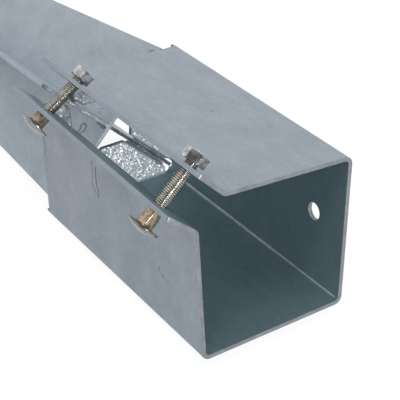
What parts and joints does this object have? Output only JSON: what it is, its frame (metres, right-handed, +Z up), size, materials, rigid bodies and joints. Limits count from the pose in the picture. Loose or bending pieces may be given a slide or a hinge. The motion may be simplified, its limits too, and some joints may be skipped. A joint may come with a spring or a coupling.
{
  "type": "post spike",
  "caption": "Drive-in post anchor: a square folded socket with clamping flanges and bolts at one open corner, on a long tapering cruciform spike.",
  "frame": {"origin": "on the ground under the middle of the object's bounding box, with the object lying as it comes to rest", "axes": "+X from the spike's tip towards the socket's mouth, +Z up; the socket's open corner is at -Y, +Z"},
  "size_m": [0.9004, 0.1022, 0.0984],
  "materials": {
    "galvanised_steel": "hot-dip galvanised, mottled",
    "zinc_plated_steel": "zinc plated, slightly yellow"
  },
  "bodies": {
    "root": {"socket": "galvanised_steel", "cross_blade": "galvanised_steel", "near_half_blade": "galvanised_steel", "far_half_blade": "galvanised_steel", "tab_welds": "galvanised_steel", "stitch_welds": "galvanised_steel", "front_bolt": "zinc_plated_steel", "rear_bolt": "zinc_plated_steel", "front_nut": "zinc_plated_steel", "rear_nut": "zinc_plated_steel"}
  },
  "joints": []
}
